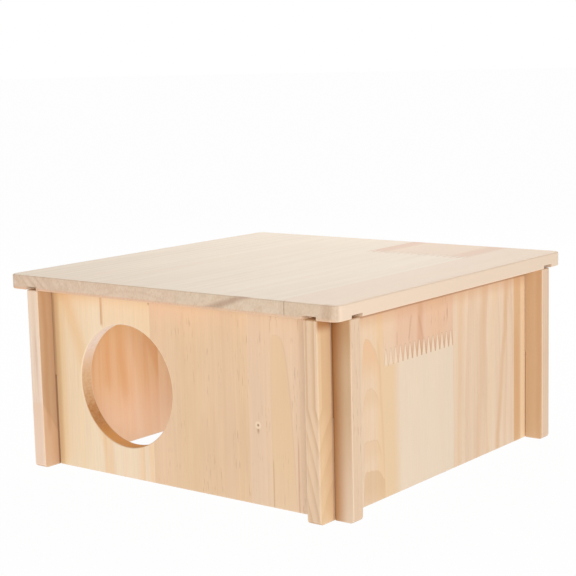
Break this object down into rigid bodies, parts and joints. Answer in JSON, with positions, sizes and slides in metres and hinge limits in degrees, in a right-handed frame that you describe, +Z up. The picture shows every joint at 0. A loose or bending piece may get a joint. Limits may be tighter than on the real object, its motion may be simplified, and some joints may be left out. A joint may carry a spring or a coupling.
{
  "type": "wooden hamster house",
  "caption": "Square pine hamster house: cross-lapped walls with corner stubs, a round doorway, an inner dividing wall and a flat grooved lift-off lid.",
  "frame": {"origin": "on the floor, under the middle of the square lid", "axes": "-Y is the side with the round doorway, +X is to the right of someone facing that side, +Z is up through the lid"},
  "size_m": [0.25, 0.25, 0.121],
  "materials": {
    "pine_tan": "bare sanded pine",
    "pine_pale": "bare sanded pine",
    "pine_cream": "bare sanded pine",
    "pine_pink": "bare sanded pine",
    "pine_orange": "bare sanded pine"
  },
  "bodies": {
    "walls": {"front_wall_stave_1": "pine_pale", "front_wall_stave_2_lower": "pine_pale", "front_wall_stave_2_upper": "pine_pale", "front_wall_stave_3": "pine_tan", "front_wall_stave_4": "pine_tan", "back_wall_stave_1": "pine_pink", "back_wall_stave_2": "pine_tan", "back_wall_stave_3": "pine_pale", "back_wall_stave_4": "pine_tan", "left_wall_stave_1": "pine_orange", "left_wall_stave_2": "pine_orange", "left_wall_stave_3": "pine_orange", "left_wall_stave_4": "pine_orange", "right_wall_stave_1": "pine_tan", "right_wall_stave_2_lower": "pine_pale", "right_wall_stave_2_upper": "pine_pink", "right_wall_stave_3": "pine_tan", "right_wall_stave_4": "pine_tan", "inner_wall_stave_1": "pine_orange", "inner_wall_stave_2": "pine_orange"},
    "lid": {"lid_stave_1": "pine_cream", "lid_stave_2": "pine_cream", "lid_stave_3_front": "pine_cream", "lid_stave_3_back": "pine_pink", "lid_stave_4": "pine_cream"}
  },
  "joints": [
    {"name": "lid_lift", "type": "slide", "parent": "walls", "child": "lid", "axis": [0, 0, 1], "range_m": [0, 0.1]}
  ]
}
